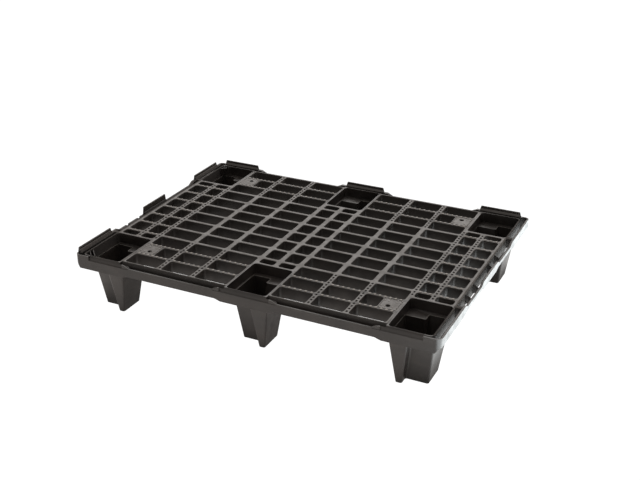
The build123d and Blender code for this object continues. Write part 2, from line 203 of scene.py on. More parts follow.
# %% List the deck's tiles
def deck_tiles():
    """Each tile: its slot's x0, x1, y0, y1 and radius, its own x0, x1, y0, y1 on top, and its y below."""
    half = COLUMN_RIB / 2
    bays = list(zip(COLUMNS[:-1], COLUMNS[1:]))
    slot_x = [(a + half, b - half) for a, b in bays] + [(COLUMNS[-1] + half, LAST_SLOT_X)]
    tile_x = [(a + TREAD, b - TREAD) for a, b in bays] + [(COLUMNS[-1] + TREAD, DECK_X - SIDE_ROLL)]
    rows = [(k * ROW_PITCH + ROW_RIB / 2, (k + 1) * ROW_PITCH - ROW_RIB / 2) for k in range(5)]
    rows.append(LAST_SLOT_Y)
    tiles = []
    for column, ((x0, x1), (X0, X1)) in enumerate(zip(slot_x, tile_x)):
        for row, (y0, y1) in enumerate(rows):
            Y0, Y1 = row * ROW_PITCH, (row + 1) * ROW_PITCH
            top, under = (LAND_END, DECK_Y) if row == 5 else (Y1, Y1)
            if column == 3 and row == 4:
                edge = PAD_X[0] - PAD_RIM
                tiles.append((x0, edge - PAD_RIM, y0, y1, SLOT_CORNER, X0, edge, Y0, Y1, Y1))
                tiles.append((*PAD_X, y0, y1, PAD_CORNER, edge, X1, Y0, Y1, Y1))
            elif column in (1, 2, 3) or row < 3:
                tiles.append((x0, x1, y0, y1, SLOT_CORNER, X0, X1, Y0, top, under))
            elif row == 3:
                end = CUP_START - CUP_RIB
                tiles.append((x0, x1, y0, end, SLOT_CORNER, X0, X1, Y0, CUP_START, CUP_START))
    quarter = np.array(tiles)
    both = []
    for sx in (1, -1):
        for sy in (1, -1):
            part = quarter.copy()
            if sx < 0:
                part[:, [0, 1, 5, 6]] = -quarter[:, [1, 0, 6, 5]]
            if sy < 0:
                part[:, [2, 3]] = -quarter[:, [3, 2]]
            low, high, under = quarter[:, 7], quarter[:, 8], quarter[:, 9]
            ends = (low, high, low, under) if sy > 0 else (-high, -low, -under, -low)
            both.append(np.column_stack([part[:, :7], *ends]))
    return np.concatenate(both)


TILES = deck_tiles()
print(len(TILES), "tiles in the deck")

# %% [markdown]
# A tile's section starts flat on top of the rib. A quarter circle rolls it into the slot, where the wall
# leans back a little so that the moulding leaves its tool, and a smaller roll leads to the flat underside.


# %% Build the tiles
def tile_rings(tiles):
    """Stacks each tile's rings: border, quarter-circle roll, wall with draft, small roll, border below."""
    x0, x1, y0, y1, radius, X0, X1, Y0, Y1, V0, V1 = tiles.T
    rings = [at_height(border_points(x0, x1, y0, y1, radius, X0, X1, Y0, Y1), DECK_TOP)]
    for turn in np.radians([0.0, 30.0, 60.0, 90.0]):
        grow, drop = EDGE_ROLL * (1 - math.sin(turn)), EDGE_ROLL * (1 - math.cos(turn))
        rings.append(at_height(loop_points(x0, x1, y0, y1, radius, grow), DECK_TOP - drop))
    rings.append(at_height(loop_points(x0, x1, y0, y1, radius, DRAFT), GRID_BOTTOM + FOOT_ROLL))
    rings.append(at_height(loop_points(x0, x1, y0, y1, radius, DRAFT + FOOT_ROLL), GRID_BOTTOM))
    rings.append(at_height(border_points(x0, x1, y0, y1, radius, X0, X1, V0, V1), GRID_BOTTOM))
    grid = np.stack(rings, axis=1)
    count, levels, points = grid.shape[:3]
    return stacked(grid.reshape(count, levels * points, 3), ring_faces(levels, points))


deck_parts = [tile_rings(TILES)]
print(len(deck_parts[0][1]), "faces in the tiles")

# %% [markdown]
# Along the middle of each column rib runs a narrow strip. On the ribs that carry the anti-slip ladder it
# has a row of small square pits, which leaves two rails with rungs between them. Elsewhere it is smooth.

# %% The strips along the column ribs
PIT_PITCH, PIT_LONG, PIT_WIDE, PIT_DEEP = 11.3, 6.0, 3.9, 1.9
PART_LADDERS, FULL_LADDERS = (127.5, 206.5), (292.5, 334.0)  # pits at both ends only, and all along
PITS_PER_END = 12


def flat_quads(x0, x1, y0, y1, z, down=False):
    """One rectangle for each row of the arrays, facing up, or down for an underside."""
    corners = [(x0, y0), (x1, y0), (x1, y1), (x0, y1)]
    points = np.stack([np.stack(np.broadcast_arrays(x, y, float(z)), axis=-1) for x, y in corners], axis=1)
    order = [3, 2, 1, 0] if down else [0, 1, 2, 3]
    return stacked(points.astype(float), np.array([order]))


def pit_rings(x, y):
    """A pit in the middle of its piece of strip: border, rim, a small roll, sloping wall, floor."""
    def square(half_x, half_y, z):
        sx, sy = np.array([1, 1, -1, -1]), np.array([-1, 1, 1, -1])
        flat = np.stack([x[:, None] + half_x * sx, y[:, None] + half_y * sy], axis=-1)
        return at_height(flat, z)
    wide, long = PIT_WIDE / 2, PIT_LONG / 2
    rings = [
        square(TREAD, PIT_PITCH / 2, DECK_TOP),
        square(wide + 0.3, long + 0.3, DECK_TOP),
        square(wide, long, DECK_TOP - 0.4),
        square(wide - 0.4, long - 0.4, DECK_TOP - PIT_DEEP),
        square(0.02, 0.02, DECK_TOP - PIT_DEEP),
    ]
    grid = np.stack(rings, axis=1)
    return stacked(grid.reshape(len(x), -1, 3), ring_faces(5, 4))


def pit_spans(rib, end):
    """The stretches of pits on a rib, each as its lower end and its number of pits."""
    if rib in FULL_LADDERS:
        count = int(2 * end / PIT_PITCH)
        return [(-count * PIT_PITCH / 2, count)]
    if rib in PART_LADDERS:
        return [(-end + 3.0, PITS_PER_END), (end - 3.0 - PITS_PER_END * PIT_PITCH, PITS_PER_END)]
    return []


def strip_parts():
    """Splits every strip into stretches with pits and smooth stretches, and gives each its underside."""
    pits_x, pits_y, smooth, strips = [], [], [], []
    for rib in COLUMNS:
        end = LAND_END if rib in PART_LADDERS else CUP_START
        spans = pit_spans(rib, end)
        for x in {rib, -rib}:
            strips.append((x, end))
            at = -end
            for low, count in spans:
                smooth.append((x, at, low))
                middle = low + PIT_PITCH * (np.arange(count) + 0.5)
                pits_x.append(np.full(count, x))
                pits_y.append(middle)
                at = low + count * PIT_PITCH
            smooth.append((x, at, end))
    parts = [pit_rings(np.concatenate(pits_x), np.concatenate(pits_y))]
    x, low, high = np.array(smooth).T
    parts.append(flat_quads(x - TREAD, x + TREAD, low, high, DECK_TOP))
    x, end = np.array(strips).T
    under = np.where(end == LAND_END, DECK_Y, end)
    parts.append(flat_quads(x - TREAD, x + TREAD, -under, under, GRID_BOTTOM, down=True))
    print(sum(len(y) for y in pits_y), "pits")
    return parts


deck_parts += strip_parts()

# %% [markdown]
# Beside each cup a narrow cheek carries the deck up to the cup's wall. Along the front and back the deck
# ends in a thin land, a steep slope and an upright wall, and along the sides in a small roll and a wall.


# %% The deck's edges
def cheek_parts():
    """The narrow flats between the last tiles and the cups, on top and below."""
    pairs = [(FULL_LADDERS[0] - TREAD, CORNER_CUP), (COLUMNS[1] + TREAD, MIDDLE_CUP)]
    rows = []
    for low, high in pairs:
        for sx in (-1, 1):
            for sy in (-1, 1):
                x0, x1 = sorted((sx * low, sx * high))
                y0, y1 = sorted((sy * CUP_START, sy * LAND_END))
                v0, v1 = sorted((sy * CUP_START, sy * DECK_Y))
                rows.append((x0, x1, y0, y1, v0, v1))
    x0, x1, y0, y1, v0, v1 = np.array(rows).T
    return [flat_quads(x0, x1, y0, y1, DECK_TOP), flat_quads(x0, x1, v0, v1, GRID_BOTTOM, down=True)]


def carried(profile, start, end, axis, flip=False):
    """Carries a line of (offset, height) points straight from start to end, along X or along Y."""
    offset, height = np.asarray(profile, float).T
    ends = []
    for at in (start, end):
        along = np.full(len(offset), float(at))
        columns = (along, offset, height) if axis == "x" else (offset, along, height)
        ends.append(np.stack(columns, axis=-1))
    faces = ring_faces(2, len(profile), closed=False)
    return np.concatenate(ends), faces[:, ::-1] if flip else faces


SLOPE_LINE = [
    (LAND_END, DECK_TOP),
    (LAND_END + 0.5, DECK_TOP - 0.4),
    (DECK_Y - 0.3, 120.6),
    (DECK_Y, 119.6),
    (DECK_Y, GRID_BOTTOM),
]
SIDE_LINE = [
    (DECK_X - SIDE_ROLL, DECK_TOP),
    (DECK_X - 0.25, DECK_TOP - 0.25),
    (DECK_X, DECK_TOP - SIDE_ROLL),
    (DECK_X, GRID_BOTTOM),
]


def edge_parts():
    """Front and back slopes between the cups, and the side walls between the corner cups."""
    parts = []
    for sy in (-1, 1):
        line = [(sy * y, z) for y, z in SLOPE_LINE]
        for x0, x1 in ((-CORNER_CUP, -MIDDLE_CUP), (MIDDLE_CUP, CORNER_CUP)):
            parts.append(carried(line, x0, x1, "x", flip=sy > 0))
    for sx in (-1, 1):
        line = [(sx * x, z) for x, z in SIDE_LINE]
        parts.append(carried(line, -CUP_START, CUP_START, "y", flip=sx < 0))
    inner = np.array([-DECK_X, DECK_X - SIDE_ROLL])
    under = flat_quads(inner, inner + SIDE_ROLL, -CUP_START, CUP_START, GRID_BOTTOM, down=True)
    return parts + [under]


deck_parts += cheek_parts() + edge_parts()

# %% [markdown]
# The outer row ribs carry low domed pips, the raised half of the anti-slip pattern. A bump texture would
# look flat from the side, so each pip is a real cushion. It has only 24 faces, because there are hundreds.

# %% Pips
PIP = (3.1, 2.9, 1.3)  # half its length, half its width, and its rise
PIP_ROOT = 0.05  # how far a pip's foot lies below the surface that it stands on
PIP_ROWS, SHORT_ROWS = (4 * ROW_PITCH, 5 * ROW_PITCH), (ROW_PITCH, 2 * ROW_PITCH, 3 * ROW_PITCH)
LONG_BAYS = [(49.5, 122.0, 6), (133.0, 201.0, 6), (212.0, 287.0, 7)]  # from, to, number of pips
SHORT_BAYS = [(298.0, 328.5, 3), (339.5, 375.5, 3)]


def cushions(x, y, half_x, half_y, rise):
    """A low cushion at each place: an eight-sided foot, a shoulder, and a crown that rises to its middle."""
    angle = np.radians(22.5 + 45 * np.arange(8))
    ring = np.stack([np.cos(angle), np.sin(angle)], axis=-1) / math.cos(math.radians(22.5))
    levels = [(1.0, 0.0), (0.86, 0.62), (0.5, 1.0), (0.0, 1.06)]
    places, reach = np.stack([x, y], axis=-1)[:, None], ring * (half_x, half_y)
    root = DECK_TOP - PIP_ROOT
    rings = [at_height(places + size * reach, root + lift * rise) for size, lift in levels]
    grid = np.stack(rings, axis=1)
    return stacked(grid.reshape(len(x), -1, 3), ring_faces(4, 8))


def spaced(bays, y):
    """The places of the pips along one rib, evenly spaced in each bay, as an array of x, y pairs."""
    x = np.concatenate([x0 + (x1 - x0) * (np.arange(count) + 0.5) / count for x0, x1, count in bays])
    return np.column_stack([x, np.full(len(x), float(y))])


def pip_places():
    """Pips on the two outer row ribs at each end, and on every short rib by the sides."""
    quarter = [spaced(LONG_BAYS, y) for y in PIP_ROWS] + [spaced(SHORT_BAYS, y) for y in SHORT_ROWS]
    quarter = np.concatenate(quarter)
    middle = spaced(SHORT_BAYS, 0)
    signs = [(sx, sy) for sx in (-1, 1) for sy in (-1, 1)]
    places = [quarter * sign for sign in signs] + [middle * (sx, 1) for sx in (-1, 1)]
    return np.concatenate(places).T


pip_x, pip_y = pip_places()
deck_parts.append(cushions(pip_x, pip_y, *PIP))
print(len(pip_x), "pips")

deck = mesh_piece("deck_ribs", deck_parts)
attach(deck, "root")
DECK_NODES = [name for name in sorted(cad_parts) if name.startswith("deck")]
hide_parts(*DECK_NODES)

# %% [markdown]
# ## Pieces carried over from the CAD model
# The feet, rims, lips, pads and webs already have the right shape. A moulding has no knife edges, though,
# so a copy of each is merged, its flat faces are joined up, and a small bevel softens every real corner.


# %% Soften a CAD node
def joined_up(mesh):
    """A bmesh of a CAD mesh: its loose triangles are merged, and joined into flat faces."""
    work = bmesh.new()
    work.from_mesh(mesh)
    bmesh.ops.remove_doubles(work, verts=work.verts, dist=0.01 * MM)
    bmesh.ops.dissolve_limit(work, angle_limit=math.radians(0.6), verts=work.verts, edges=work.edges)
    return work


def softened(node, name, width=0.8, segments=2):
    """A joined-up copy of a CAD node, with a bevel on every edge sharper than 30 degrees."""
    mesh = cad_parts[node].data.copy()
    mesh.materials.clear()
    work = joined_up(mesh)
    work.to_mesh(mesh)
    work.free()
    piece = bpy.data.objects.new(name, mesh)
    bpy.context.scene.collection.objects.link(piece)
    bevel = piece.modifiers.new("soft edges", "BEVEL")
    bevel.width, bevel.segments = width * MM, segments
    bevel.limit_method, bevel.angle_limit = "ANGLE", math.radians(30)
    mesh.shade_smooth()
    mesh.set_sharp_from_angle(angle=math.radians(40))
    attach(piece, "root")
    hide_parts(node)
    return piece


BODY_NODES = [n for n in sorted(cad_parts) if n not in DECK_NODES]
bodies = {n: softened(n, n + "_moulded") for n in BODY_NODES}
print(len(bodies), "pieces carried over")

# %% [markdown]
# ## Small moulded details
# Some shapes are too small for the CAD model: the gussets that stiffen the two left corner cups, the flared
# foot of each edge lip, the swept corner where a block turns into its band, the pips on the anchor pads, and
# a pale line where the shoulder in each cup breaks into the leg's well, which is a painted highlight along
# that edge. All but the pips are closed solids, either a straight plate or an outline carried along an axis,
# set a little into their piece.


# %% Helpers for small solids
def plate(start, end, thick, low, high):
    """An upright plate from one flat point to another, with its thickness, bottom height and top height."""
    a, b = np.array(start, float), np.array(end, float)
    along = (b - a) / np.linalg.norm(b - a)
    side = np.array([-along[1], along[0]]) * thick / 2
    foot = np.array([a - side, b - side, b + side, a + side])
    points = np.concatenate([at_height(foot, low), at_height(foot, high)])
    return points, ring_faces(2, 4).tolist() + [[3, 2, 1, 0], [4, 5, 6, 7]]


def carried_solid(section, start, end, axis):
    """A closed outline of (offset, height) points carried along an axis, with both ends capped."""
    count = len(section)
    points, _ = carried(section, start, end, axis)
    caps = [list(range(count))[::-1], list(range(count, 2 * count))]
    return points, ring_faces(2, count).tolist() + caps


def detail_piece(name, solids):
    """Joins small solids into one object. Their faces may have any number of corners, and end up outward."""
    starts = np.cumsum([0] + [len(points) for points, _ in solids])
    corners = np.concatenate([points for points, _ in solids]) * MM
    faces = [[i + start for i in face] for (_, part), start in zip(solids, starts.tolist()) for face in part]
    mesh = bpy.data.meshes.new(name)
    mesh.from_pydata(corners.tolist(), [], faces)
    work = bmesh.new()
    work.from_mesh(mesh)
    bmesh.ops.remove_doubles(work, verts=work.verts, dist=1e-7)
    bmesh.ops.recalc_face_normals(work, faces=work.faces)
    work.to_mesh(mesh)
    work.free()
    piece = bpy.data.objects.new(name, mesh)
    bpy.context.scene.collection.objects.link(piece)
    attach(piece, "root")
    print(name, len(mesh.vertices), "vertices", len(mesh.polygons), "faces")
    return piece


# %% [markdown]
# The gussets are upright plates that stand on the shoulder. A lip stands on a thin ledge and would break
# off there, so its foot is flared. Where a block steps down to its band, a fillet with an S-shaped top
# leads from one to the other. It is worked out as a curve, because a bevel can't turn a corner that way.


# %% Gussets, lip feet and band ends
SHOULDER = 106.0  # the height of the shoulder inside each cup
GUSSETS = [(270, -369), (260, -359)]  # y where it meets the short side, x where it meets the long side
GUSSET_THICK, GUSSET_WALLS = 1.4, (-384, 286)
BACK_LIPS = [(-384, -288), (-48, 50), (285, 381)]  # from, to
LEFT_LIPS, LEFT_MIDDLE_LIP = [(-289, -174), (168, 276)], (-52, 41)
LIP_END_GAP = 2  # the flared foot stops this far short of each end of its lip
MIDDLE_LIP_DROP = 6.5  # the left middle lip stands in a dip of the rim
# A flared foot's outline, as how far it stands in from the rim's face and how far above the deck.
FLARE = np.array([(2.8, 4.6), (2.8, 0.0), (6.6, 0.0), (6.0, 1.0), (3.8, 3.6)])
RIM_X, RIM_Y = 400.0, 300.0
BAND_ENDS = [(-262.0, -283.0), (-76.0, -55.0), (76.0, 55.0), (262.0, 283.0)]  # low end, high end
BAND_TOP, BLOCK_RISE, FILLET_ROOT = 121.2, 6.4, 120.4
FILLET_Y = (299.6, 297.4)


def gussets():
    """Two diagonal ribs across the outer corner of each left cup."""
    wall_x, wall_y = GUSSET_WALLS
    ends = [((wall_x, sy * y), (x, sy * wall_y)) for sy in (-1, 1) for y, x in GUSSETS]
    return [plate(start, end, GUSSET_THICK, SHOULDER + 0.2, DECK_TOP - 1.5) for start, end in ends]


def lip_feet():
    """The flared foot inside each edge lip: an outline that widens downward onto the ledge."""
    back = np.column_stack([RIM_Y - FLARE[:, 0], DECK_TOP + FLARE[:, 1]])
    left = np.column_stack([FLARE[:, 0] - RIM_X, DECK_TOP + FLARE[:, 1]])
    feet = [carried_solid(back, x0 + LIP_END_GAP, x1 - LIP_END_GAP, "x") for x0, x1 in BACK_LIPS]
    feet += [carried_solid(left, y0 + LIP_END_GAP, y1 - LIP_END_GAP, "y") for y0, y1 in LEFT_LIPS]
    y0, y1 = LEFT_MIDDLE_LIP
    return feet + [carried_solid(left - (0, MIDDLE_LIP_DROP), y0 + LIP_END_GAP, y1 - LIP_END_GAP, "y")]


def swept_ends():
    """A fillet on each slope between a block and its band: height rises as 3 t squared less 2 t cubed."""
    t = np.linspace(0, 1, 7)
    height = BAND_TOP + BLOCK_RISE * (3 * t**2 - 2 * t**3)
    solids = []
    for sy in (-1, 1):
        for foot, head in BAND_ENDS:
            top = np.column_stack([foot + (head - foot) * t, height])
            outline = np.concatenate([top, [(head, FILLET_ROOT), (foot, FILLET_ROOT)]])
            solids.append(carried_solid(outline, *(sy * y for y in FILLET_Y), "y"))
    return solids


corner_gussets = detail_piece("corner_gussets", gussets())
lip_flares = detail_piece("lip_flares", lip_feet())
band_sweeps = detail_piece("band_sweeps", swept_ends())

# %% [markdown]
# The pads have smaller pips than the ribs, in a four by four pattern with its middle free for the hole. The
# line round each well is found rather than drawn: it follows every outward edge of the shoulder, so it fits
# the leg below whatever that leg's outline is.


# %% Pad pips and well lines
PAD_PIP = (1.9, 1.7, 0.8)  # half its length, half its width, and its rise
PAD_PIP_X, PAD_PIP_Y = (254.5, 262.0, 278.0, 286.5), (195.0, 203.0, 224.0, 232.0)
LINE_THICK, LINE_LOW, LINE_HIGH = 1.1, SHOULDER - 0.1, SHOULDER + 0.5


def well_edges():
    """A low plate along every convex edge at the shoulder's height in each foot."""
    solids = []
    for node in (n for n in BODY_NODES if n.startswith("foot")):
        work = joined_up(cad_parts[node].data)
        for edge in work.edges:
            a, b = (v.co / MM for v in edge.verts)
            level = max(abs(a.z - SHOULDER), abs(b.z - SHOULDER)) < 0.1
            outward = edge.is_manifold and edge.is_convex
            if level and outward and max(face.normal.z for face in edge.link_faces) > 0.9:
                solids.append(plate((a.x, a.y), (b.x, b.y), LINE_THICK, LINE_LOW, LINE_HIGH))
        work.free()
    print(len(solids), "stretches of well edge")
    return solids


def pad_places():
    """Four by four places on each pad, mirrored to the four pads."""
    x, y = np.meshgrid(PAD_PIP_X, PAD_PIP_Y)
    quarter = np.column_stack([x.ravel(), y.ravel()])
    return np.concatenate([quarter * (sx, sy) for sx in (-1, 1) for sy in (-1, 1)]).T


pad_points, pad_faces = cushions(*pad_places(), *PAD_PIP)
pad_pips = detail_piece("pad_pips", [(pad_points, pad_faces.tolist())])
well_lines = detail_piece("well_lines", well_edges())

# %% [markdown]
# ## Materials
# Recycled black polyethylene isn't evenly black. It has a fine grain from the tool and faint cloudy streaks
# of brown and grey. Its load surface is paler, partly from scuffing and partly as a painted highlight. The
# crowns of the pips carry a painted highlight, and a painted shade darkens the rib between the pips, while
# the pits keep the plain black. Each of these effects is a node group, so that every material can use it
# with its own values.


# %% Node helpers
NOISE = "ShaderNodeTexNoise"


def new_group(name, inputs, outputs):
    """An empty shader node group with named float or colour sockets."""
    group = bpy.data.node_groups.new(name, "ShaderNodeTree")
    for label, kind, value in inputs:
        socket = group.interface.new_socket(label, in_out="INPUT", socket_type=kind)
        socket.default_value = value
    for label, kind in outputs:
        group.interface.new_socket(label, in_out="OUTPUT", socket_type=kind)
    return group, group.nodes.new("NodeGroupInput"), group.nodes.new("NodeGroupOutput")


def add(tree, kind, links=(), **settings):
    """Adds a node, sets its properties, and links or sets its inputs by name or number."""
    node = tree.nodes.new(kind)
    for key, value in settings.items():
        setattr(node, key, value)
    for key, value in dict(links).items():
        if hasattr(value, "is_output"):
            tree.links.new(value, node.inputs[key])
        else:
            node.inputs[key].default_value = value
    return node


def math_node(tree, operation, a, b=0.0, clamp=False):
    """A Math node of one operation, returning its result."""
    return add(tree, "ShaderNodeMath", {0: a, 1: b}, operation=operation, use_clamp=clamp).outputs[0]


def mix_colour(tree, factor, a, b):
    """Colour a where the factor is zero and colour b where it is one."""
    node = add(tree, "ShaderNodeMix", {"Factor": factor}, data_type="RGBA")
    for socket, value in zip(node.inputs[6:8], (a, b)):
        if hasattr(value, "is_output"):
            tree.links.new(value, socket)
        else:
            socket.default_value = value
    return node.outputs[2]


def product(tree, *values):
    """The product of several masks."""
    result = values[0]
    for value in values[1:]:
        result = math_node(tree, "MULTIPLY", result, value)
    return result


def inverse(tree, value):
    """One less a mask."""
    return math_node(tree, "SUBTRACT", 1.0, value)


def ramp_between(tree, value, low, high):
    """Zero below low, one above high, and smooth between."""
    settings = {"Value": value, "From Min": low, "From Max": high}
    return add(tree, "ShaderNodeMapRange", settings, interpolation_type="SMOOTHSTEP").outputs["Result"]


# %% [markdown]
# The grain is only a height, for bump. The cloud is two masks, one for tint and one for gloss. Both read
# object coordinates, so that nothing slides over the plastic when the pallet moves.


# %% Effect groups: grain and cloud
def make_grain():
    """Tool grain: fine noise, with a coarser ripple from the flow of the melt, as one height."""
    group, source, sink = new_group(
        "tool_grain",
        [
            ("Vector", "NodeSocketVector", (0, 0, 0)),
            ("Fine", "NodeSocketFloat", 1.0),
            ("Ripple", "NodeSocketFloat", 1.0),
        ],
        [("Height", "NodeSocketFloat")],
    )
    where = source.outputs["Vector"]
    fine = add(group, NOISE, {"Vector": where, "Scale": 900.0, "Detail": 3.0, "Roughness": 0.6})
    ripple = add(group, NOISE, {"Vector": where, "Scale": 60.0, "Detail": 2.0})
    a = math_node(group, "MULTIPLY", fine.outputs["Fac"], source.outputs["Fine"])
    b = math_node(group, "MULTIPLY", ripple.outputs["Fac"], source.outputs["Ripple"])
    group.links.new(math_node(group, "ADD", a, b), sink.inputs["Height"])
    return group


def make_cloud():
    """Cloudy streaks in recycled plastic: two soft noises, one stretched, give the tint and gloss masks."""
    group, source, sink = new_group(
        "recycled_cloud",
        [("Vector", "NodeSocketVector", (0, 0, 0))],
        [("Tint", "NodeSocketFloat"), ("Gloss", "NodeSocketFloat")],
    )
    where = source.outputs["Vector"]
    stretch = add(group, "ShaderNodeMapping", {"Vector": where, "Scale": (1.0, 1.0, 2.5)}).outputs[0]
    tint = add(group, NOISE, {"Vector": stretch, "Scale": 14.0, "Detail": 4.0, "Distortion": 0.6})
    gloss = add(group, NOISE, {"Vector": where, "Scale": 45.0, "Detail": 4.0})
    group.links.new(ramp_between(group, tint.outputs["Fac"], 0.35, 0.7), sink.inputs["Tint"])
    group.links.new(ramp_between(group, gloss.outputs["Fac"], 0.3, 0.75), sink.inputs["Gloss"])
    return group


GRAIN, CLOUD = make_grain(), make_cloud()
print("effect groups:", [g.name for g in bpy.data.node_groups])

# %% [markdown]
# The wear mask works from height, because the load only rubs the top, and its paleness is also a painted
# highlight on the tops. Noise breaks it up, and a painted shade takes it away between the pips. A second
# mask marks the pips' crowns for a painted highlight. The dull mask marks the narrow channel inside the
# short rims, which nothing rubs.


# %% Effect groups: scuff and dull channel
PIP_ROWS_MIDDLE, PIP_ROWS_HALF_GAP = 4.5 * ROW_PITCH * MM, 0.5 * ROW_PITCH * MM
RIB_SIDE, GAP_TOP = (0.0035, 0.0045), (0.0010, 0.0014)  # where the painted shade between the pips fades out, sideways and upward
CROWN_START, CROWN_SPAN = 0.0011, 0.0004
CHANNEL_X, CHANNEL_END, CHANNEL_FLOOR = (0.3800, 0.3960), 0.2935, 0.100


def make_scuff_and_painted_light():
    """Wear and painted highlight by height: one at the load surface and above, less noise and the painted
    shade between the pips, and a mask for the painted highlight on the pips' crowns.
    """
    group, source, sink = new_group(
        "load_scuff_and_painted_light",
        [
            ("Vector", "NodeSocketVector", (0, 0, 0)),
            ("Level", "NodeSocketFloat", 0.1272),
            ("Span", "NodeSocketFloat", 0.0008),
            ("Patchy", "NodeSocketFloat", 0.4),
            ("Painted Gap Shade", "NodeSocketFloat", 0.75),
        ],
        [("Top", "NodeSocketFloat"), ("Crown", "NodeSocketFloat")],
    )
    where = source.outputs["Vector"]
    apart = add(group, "ShaderNodeSeparateXYZ", {0: where})
    above = math_node(group, "SUBTRACT", apart.outputs["Z"], source.outputs["Level"])
    top = math_node(group, "DIVIDE", above, source.outputs["Span"], clamp=True)
    noise = add(group, NOISE, {"Vector": where, "Scale": 160.0, "Detail": 5.0, "Roughness": 0.7})
    broken = ramp_between(group, noise.outputs["Fac"], 0.3, 0.62)
    keep = inverse(group, product(group, broken, source.outputs["Patchy"]))
    # The two ribs with pips at each end lie equally far from a line between them. Painted shade fills their
    # gaps.
    from_middle = math_node(group, "ABSOLUTE", apart.outputs["Y"])
    from_line = math_node(group, "ABSOLUTE", math_node(group, "SUBTRACT", from_middle, PIP_ROWS_MIDDLE))
    from_rib = math_node(group, "ABSOLUTE", math_node(group, "SUBTRACT", from_line, PIP_ROWS_HALF_GAP))
    on_rib = inverse(group, ramp_between(group, from_rib, *RIB_SIDE))
    low = inverse(group, ramp_between(group, above, *GAP_TOP))
    # A painted shade: the rib between the pips on these two rows keeps the dark base colour.
    painted_gap_shade = product(group, on_rib, low, source.outputs["Painted Gap Shade"])
    kept_and_unshaded = product(group, keep, inverse(group, painted_gap_shade))
    group.links.new(product(group, top, kept_and_unshaded), sink.inputs["Top"])
    over = math_node(group, "SUBTRACT", above, CROWN_START)
    group.links.new(math_node(group, "DIVIDE", over, CROWN_SPAN, clamp=True), sink.inputs["Crown"])
    return group


def make_matt():
    """A mask for the narrow channel inside the short rims, which stays dull."""
    group, source, sink = new_group(
        "dull_channel",
        [("Vector", "NodeSocketVector", (0, 0, 0))],
        [("Mask", "NodeSocketFloat")],
    )
    apart = add(group, "ShaderNodeSeparateXYZ", {0: source.outputs["Vector"]})
    x, y = (math_node(group, "ABSOLUTE", apart.outputs[axis]) for axis in ("X", "Y"))
    inner, outer = CHANNEL_X
    beyond = ramp_between(group, x, inner, inner + 0.0006)
    within = inverse(group, ramp_between(group, x, outer, outer + 0.0006))
    clear_of_ends = inverse(group, ramp_between(group, y, CHANNEL_END, CHANNEL_END + 0.001))
    high = ramp_between(group, apart.outputs["Z"], CHANNEL_FLOOR, CHANNEL_FLOOR + 0.002)
    group.links.new(product(group, beyond, within, clear_of_ends, high), sink.inputs["Mask"])
    return group


SCUFF_AND_PAINTED_LIGHT, MATT = make_scuff_and_painted_light(), make_matt()
print("effect groups:", [g.name for g in bpy.data.node_groups])

# %% [markdown]
# Three finishes share these effects. The body of the pallet is semi-matt black with a warm cast. On the
# deck the tops of the ribs are paler, partly from scuffing and partly as a painted highlight, and the pips'
# crowns are palest of all, a painted highlight. The pale line round each well is a painted highlight all
# over.


# %% The plastic
GLOSS_SPAN, CHANNEL_DULL = 0.14, 0.5
GRAIN_DEPTH = 0.0004


def plastic(name, dark, light, worn_and_highlight, crown_highlight, top_amount, rough, grain=0.12, dull_walls=0.0):
    """Moulded plastic: cloud mixes dark and light, then the height masks add a paler top, which is wear and
    painted highlight, and a painted highlight on the pips' crowns.
    """
    material = bpy.data.materials.new(name)
    material.use_nodes = True
    tree = material.node_tree
    tree.nodes.clear()
    where = add(tree, "ShaderNodeTexCoord").outputs["Object"]
    cloud = add(tree, "ShaderNodeGroup", node_tree=CLOUD)
    scuff = add(tree, "ShaderNodeGroup", node_tree=SCUFF_AND_PAINTED_LIGHT)
    grains = add(tree, "ShaderNodeGroup", node_tree=GRAIN)
    matt = add(tree, "ShaderNodeGroup", node_tree=MATT)
    for node in (cloud, scuff, grains, matt):
        tree.links.new(where, node.inputs["Vector"])
    top = scuff.outputs["Top"]
    base = mix_colour(tree, cloud.outputs["Tint"], dark, light)
    # The paler top is partly wear and partly a painted highlight. The pips' crowns get a painted highlight.
    top_wear_and_highlight = mix_colour(tree, product(tree, top, top_amount), base, worn_and_highlight)
    colour = mix_colour(tree, scuff.outputs["Crown"], top_wear_and_highlight, crown_highlight)
    # Roughness wanders with the gloss mask about its own value, and is more in the walls and the channel.
    wander = product(tree, cloud.outputs["Gloss"], GLOSS_SPAN)
    own = math_node(tree, "ADD", wander, rough - GLOSS_SPAN / 2)
    walls = product(tree, inverse(tree, top), dull_walls)
    dull = math_node(tree, "MAXIMUM", walls, product(tree, matt.outputs["Mask"], CHANNEL_DULL))
    spread = math_node(tree, "ADD", own, dull, clamp=True)
    height = {"Height": grains.outputs["Height"], "Strength": grain, "Distance": GRAIN_DEPTH}
    bump = add(tree, "ShaderNodeBump", height).outputs["Normal"]
    inputs = {"Base Color": colour, "Roughness": spread, "Normal": bump}
    shader = add(tree, "ShaderNodeBsdfPrincipled", inputs)
    out = add(tree, "ShaderNodeOutputMaterial")
    tree.links.new(shader.outputs[0], out.inputs["Surface"])
    return material


# %% [markdown]
# Each finish is the same plastic with its own colours, as linear red, green and blue, and its own gloss.

# %% Build the finishes
body_black = plastic(
    "moulded_black",
    dark=(0.0105, 0.0088, 0.0078, 1),
    light=(0.019, 0.0155, 0.0135, 1),
    worn_and_highlight=(0.035, 0.031, 0.028, 1),
    crown_highlight=(0.035, 0.031, 0.028, 1),
    top_amount=0.6,
    rough=0.40,
)
